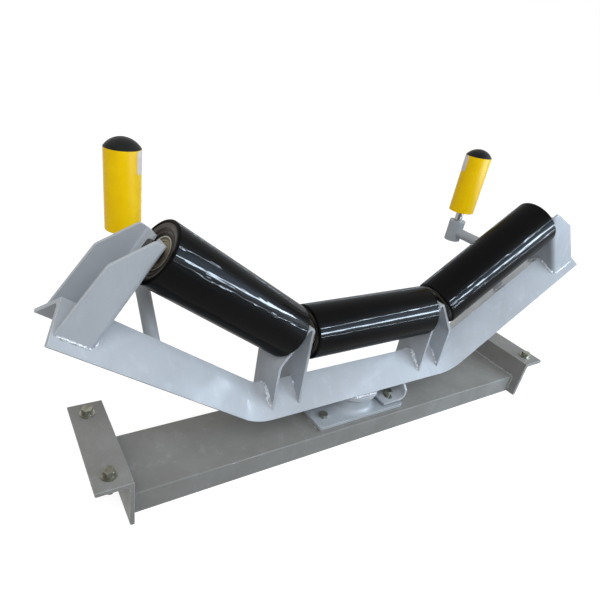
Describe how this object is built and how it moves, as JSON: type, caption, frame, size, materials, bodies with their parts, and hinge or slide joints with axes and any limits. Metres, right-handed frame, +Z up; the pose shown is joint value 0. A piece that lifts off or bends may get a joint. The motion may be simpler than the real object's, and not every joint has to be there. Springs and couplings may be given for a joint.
{
  "type": "troughing idler set",
  "caption": "Self-aligning troughing idler: a trough of rollers on a bent beam that swivels on a channel base, with upright guide rollers behind.",
  "frame": {"origin": "middle of the four foot bolts, on the face of the feet that rests on the stringers", "axes": "+X across the conveyor, +Y along the belt towards the guide rollers, +Z up"},
  "size_m": [1.239, 0.3317, 0.5735],
  "materials": {
    "frame_paint": "light blue-grey gloss paint",
    "base_paint": "warm grey gloss paint",
    "zinc": "zinc-plated",
    "steel": "ground steel",
    "dark_steel": "dark oiled steel",
    "black_roller": "glossy black paint",
    "pressed_seat": "black painted pressing",
    "seal": "moulded seal",
    "yellow_sleeve": "smooth yellow sleeve",
    "black_cap": "moulded plug"
  },
  "bodies": {
    "base": {"base_channel": "base_paint", "end_angle_left": "base_paint", "end_angle_right": "base_paint", "foot_bolts": "zinc", "foot_spring_washers": "zinc", "foot_flat_washers": "zinc", "pivot_base_plate": "base_paint", "pivot_housing": "base_paint", "pivot_outer_rings": "steel", "pivot_bolts": "zinc", "stop_bolt": "zinc", "pivot_nuts": "zinc"},
    "swivel_frame": {"swivel_beam": "frame_paint", "inner_bracket_left": "frame_paint", "inner_bracket_right": "frame_paint", "outer_bracket_left": "frame_paint", "outer_bracket_right": "frame_paint", "pivot_head": "frame_paint", "king_pin": "steel", "king_pin_nut": "zinc", "pivot_inner_rings": "steel", "swivel_stop": "frame_paint", "guide_arm_left": "frame_paint", "guide_arm_right": "frame_paint", "guide_spindle_left": "dark_steel", "guide_spindle_right": "dark_steel", "guide_inner_rings_left": "steel", "guide_inner_rings_right": "steel", "roller_shaft_left": "steel", "roller_shaft_centre": "steel", "roller_shaft_right": "steel", "shaft_inner_rings_left": "steel", "shaft_inner_rings_centre": "steel", "shaft_inner_rings_right": "steel", "shaft_circlips_left": "dark_steel", "shaft_circlips_centre": "dark_steel", "shaft_circlips_right": "dark_steel"},
    "roller_left": {"roller_shell_left": "black_roller", "bearing_seats_left": "pressed_seat", "roller_outer_rings_left": "steel", "roller_seals_left": "seal"},
    "roller_centre": {"roller_shell_centre": "black_roller", "bearing_seats_centre": "pressed_seat", "roller_outer_rings_centre": "steel", "roller_seals_centre": "seal"},
    "roller_right": {"roller_shell_right": "black_roller", "bearing_seats_right": "pressed_seat", "roller_outer_rings_right": "steel", "roller_seals_right": "seal"},
    "guide_left": {"guide_shell_left": "yellow_sleeve", "guide_cap_left": "black_cap", "guide_seats_left": "pressed_seat", "guide_outer_rings_left": "steel"},
    "guide_right": {"guide_shell_right": "yellow_sleeve", "guide_cap_right": "black_cap", "guide_seats_right": "pressed_seat", "guide_outer_rings_right": "steel"}
  },
  "joints": [
    {"name": "swivel", "type": "hinge", "parent": "base", "child": "swivel_frame", "pos_m": [0, -0.015, 0], "axis": [0, 0, 1], "range_deg": [-6, 6]},
    {"name": "roller_left_spin", "type": "hinge", "parent": "swivel_frame", "child": "roller_left", "pos_m": [-0.3277, -0.015, 0.27554], "axis": [-0.8192, 0, 0.5736], "continuous": true},
    {"name": "roller_centre_spin", "type": "hinge", "parent": "swivel_frame", "child": "roller_centre", "pos_m": [0, -0.015, 0.1735], "axis": [1, 0, 0], "continuous": true},
    {"name": "roller_right_spin", "type": "hinge", "parent": "swivel_frame", "child": "roller_right", "pos_m": [0.3277, -0.015, 0.27554], "axis": [0.8192, 0, 0.5736], "continuous": true},
    {"name": "guide_left_spin", "type": "hinge", "parent": "swivel_frame", "child": "guide_left", "pos_m": [-0.447, 0.19, 0.39], "axis": [0, 0, 1], "continuous": true},
    {"name": "guide_right_spin", "type": "hinge", "parent": "swivel_frame", "child": "guide_right", "pos_m": [0.447, 0.19, 0.39], "axis": [0, 0, 1], "continuous": true}
  ]
}
